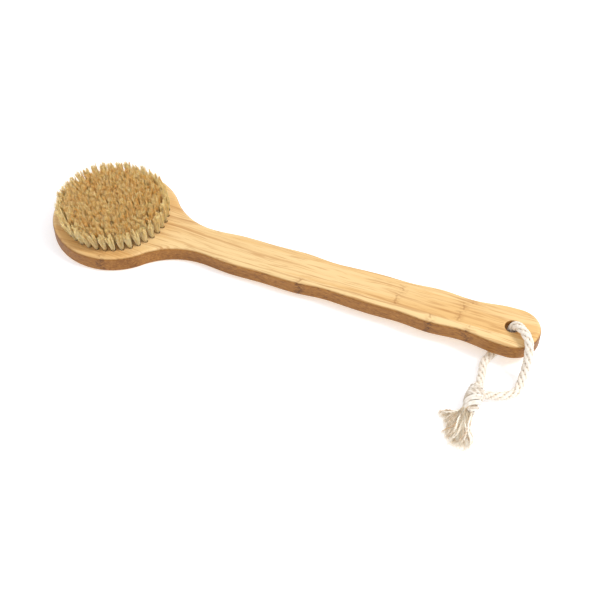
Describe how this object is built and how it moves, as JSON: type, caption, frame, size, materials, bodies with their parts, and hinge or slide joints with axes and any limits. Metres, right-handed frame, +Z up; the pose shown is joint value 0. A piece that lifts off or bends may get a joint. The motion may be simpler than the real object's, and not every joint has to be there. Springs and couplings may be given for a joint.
{
  "type": "body dry brush",
  "caption": "Long-handled bath and dry-skin brush with a round head of natural bristle, a waisted bamboo handle and a knotted cotton hanging loop.",
  "frame": {"origin": "centre of the round head's flat back, on the surface that the brush lies on", "axes": "+X along the handle towards its hanging hole, +Z up out of the back through the bristles"},
  "size_m": [0.3528, 0.1355, 0.0293],
  "materials": {
    "bamboo": "satin",
    "bristle": "matte",
    "anchor_wire": "satin",
    "cotton": "matte"
  },
  "bodies": {
    "brush": {"centre_stave": "bamboo", "inner_stave_left": "bamboo", "inner_stave_right": "bamboo", "outer_stave_left": "bamboo", "outer_stave_right": "bamboo", "tuft_ring_1": "bristle", "tuft_ring_2": "bristle", "tuft_ring_3": "bristle", "tuft_ring_4": "bristle", "tuft_ring_5": "bristle", "tuft_ring_6": "bristle", "tuft_ring_7": "bristle", "anchor_ring_1": "anchor_wire", "anchor_ring_2": "anchor_wire", "anchor_ring_3": "anchor_wire", "anchor_ring_4": "anchor_wire", "anchor_ring_5": "anchor_wire", "anchor_ring_6": "anchor_wire", "anchor_ring_7": "anchor_wire"},
    "loop": {"hanging_cord": "cotton", "cord_knot": "cotton", "frayed_end_left": "cotton", "frayed_end_right": "cotton"}
  },
  "joints": [
    {"name": "loop_swing", "type": "hinge", "parent": "brush", "child": "loop", "pos_m": [0.2885, 0, 0.0138], "axis": [0, 0, 1], "range_deg": [-25, 155]}
  ]
}
